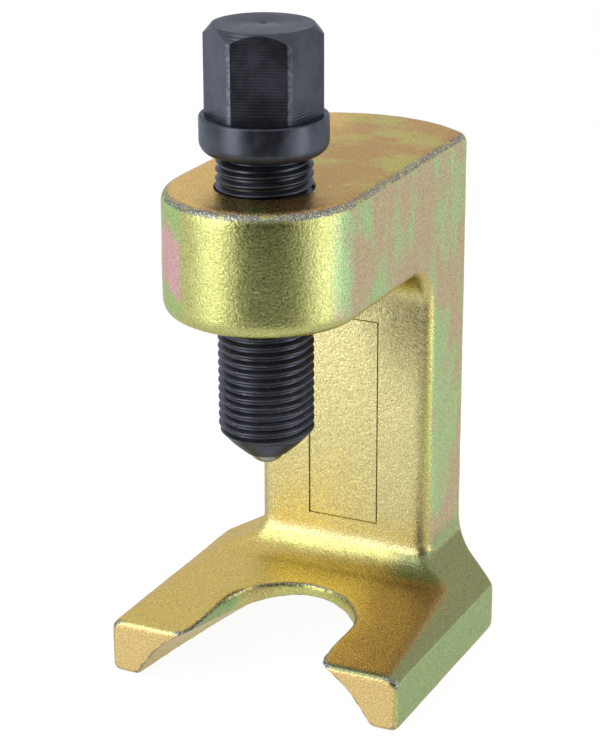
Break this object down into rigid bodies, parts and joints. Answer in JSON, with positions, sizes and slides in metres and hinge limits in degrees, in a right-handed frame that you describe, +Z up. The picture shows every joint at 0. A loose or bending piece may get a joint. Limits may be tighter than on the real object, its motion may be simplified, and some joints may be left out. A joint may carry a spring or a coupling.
{
  "type": "ball joint separator",
  "caption": "Forged C-frame with a forked foot and a forcing screw that presses a ball stud out of its taper.",
  "frame": {"origin": "on the forcing screw's axis, in the plane that the fork's two lands rest on", "axes": "+Z up along the forcing screw to its hexagon, -Y out of the open end of the fork, X across the fork"},
  "size_m": [0.0544, 0.0692, 0.1164],
  "materials": {
    "zinc_plated_forging": "satin",
    "black_oxide_steel": "satin",
    "bearing_steel": "polished"
  },
  "bodies": {
    "frame": {"forged_frame": "zinc_plated_forging"},
    "ball": {"pressure_ball": "bearing_steel"},
    "screw": {"forcing_screw": "black_oxide_steel"}
  },
  "joints": [
    {"name": "screw_feed", "type": "slide", "parent": "frame", "child": "ball", "axis": [0, 0, 1], "range_m": [-0.0055, 0.02]},
    {"name": "screw_turn", "type": "hinge", "parent": "ball", "child": "screw", "pos_m": [0, 0, 0.09], "axis": [0, 0, 1], "range_deg": [-1325, 4808]}
  ],
  "couplings": [
    {"joint": "screw_turn", "follows": "screw_feed", "rad_per_m": 4188.8}
  ]
}
